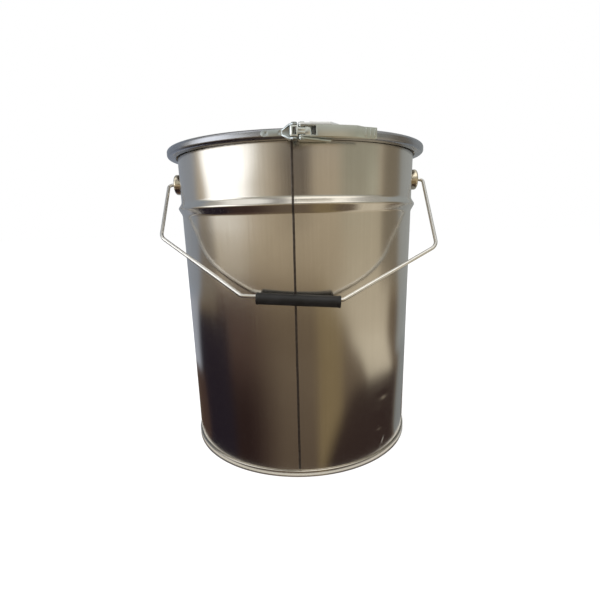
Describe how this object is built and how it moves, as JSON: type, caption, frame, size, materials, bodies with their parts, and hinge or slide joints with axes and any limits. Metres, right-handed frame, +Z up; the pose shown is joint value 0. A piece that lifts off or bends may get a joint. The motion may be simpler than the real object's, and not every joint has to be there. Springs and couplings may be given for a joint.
{
  "type": "metal pail with lever-ring lid",
  "caption": "Slightly conical bare tinplate pail with a welded side seam, wire bail with a black plastic grip, and a sunk lid held by a lever-locked clamping ring.",
  "frame": {"origin": "on the pail's upright axis, in the plane of the bottom seam's lowest edge, on which the pail stands", "axes": "+Z up along the pail's axis; -Y towards the front with the weld and the closing lever; +X through the ear on the right of someone facing the front"},
  "size_m": [0.3416, 0.3365, 0.3794],
  "materials": {
    "tinplate": "bright tinplate with fine upright grain",
    "zinc_steel": "pale zinc plate",
    "zinc_wire": "bright drawn zinc-plated wire",
    "galvanised_band": "dark galvanised sheet",
    "black_plastic": "smooth black plastic tube",
    "gasket_rubber": "soft black rubber",
    "sealant": "dull sealing compound"
  },
  "bodies": {
    "pail": {"body_shell": "tinplate", "bottom_end": "tinplate", "seam_sealant": "sealant", "ear_left": "zinc_steel", "ear_right": "zinc_steel"},
    "bail": {"bail_wire": "zinc_wire"},
    "grip": {"bail_grip": "black_plastic"},
    "lid": {"lid": "tinplate", "lid_gasket": "gasket_rubber"},
    "ring_left": {"ring_band_left": "galvanised_band", "hook_bracket": "zinc_steel", "hook_pin": "zinc_steel"},
    "ring_right": {"ring_band_right": "galvanised_band", "lever_bracket": "zinc_steel", "lever_rivets": "zinc_steel"},
    "lever": {"lever": "zinc_steel", "link_pin": "zinc_steel"},
    "link": {"link": "zinc_steel"}
  },
  "joints": [
    {"name": "bail_swing", "type": "hinge", "parent": "pail", "child": "bail", "pos_m": [0, 0, 0.3392], "axis": [-1, 0, 0], "range_deg": [0, 259.4]},
    {"name": "grip_spin", "type": "hinge", "parent": "bail", "child": "grip", "pos_m": [-0.0004, -0.15523, 0.21032], "axis": [0.9965, -0.0646, -0.0536], "continuous": true},
    {"name": "lid_lift", "type": "slide", "parent": "pail", "child": "lid", "axis": [0, 0, 1], "range_m": [0, 0.15], "deforming": ["ring_band_left", "ring_band_right"]},
    {"name": "ring_spread_left", "type": "hinge", "parent": "lid", "child": "ring_left", "pos_m": [0, 0.1625, 0.37155], "axis": [0, 0, -1], "range_deg": [0, 0.65]},
    {"name": "ring_spread_right", "type": "hinge", "parent": "ring_left", "child": "ring_right", "pos_m": [0, 0.1625, 0.37155], "axis": [0, 0, 1], "range_deg": [0, 1.3]},
    {"name": "lever_open", "type": "hinge", "parent": "ring_right", "child": "lever", "pos_m": [0.0064, -0.1708, 0.37155], "axis": [0, 0, -1], "range_deg": [0, 112]},
    {"name": "link_turn", "type": "hinge", "parent": "lever", "child": "link", "pos_m": [0.01278, -0.16956, 0.37155], "axis": [0, 0, -1], "range_deg": [-112, 0]}
  ],
  "couplings": [
    {"joint": "ring_spread_left", "follows": "lever_open", "ratio": 0.005795},
    {"joint": "ring_spread_right", "follows": "lever_open", "ratio": 0.01159},
    {"joint": "link_turn", "follows": "lever_open", "ratio": -1}
  ]
}
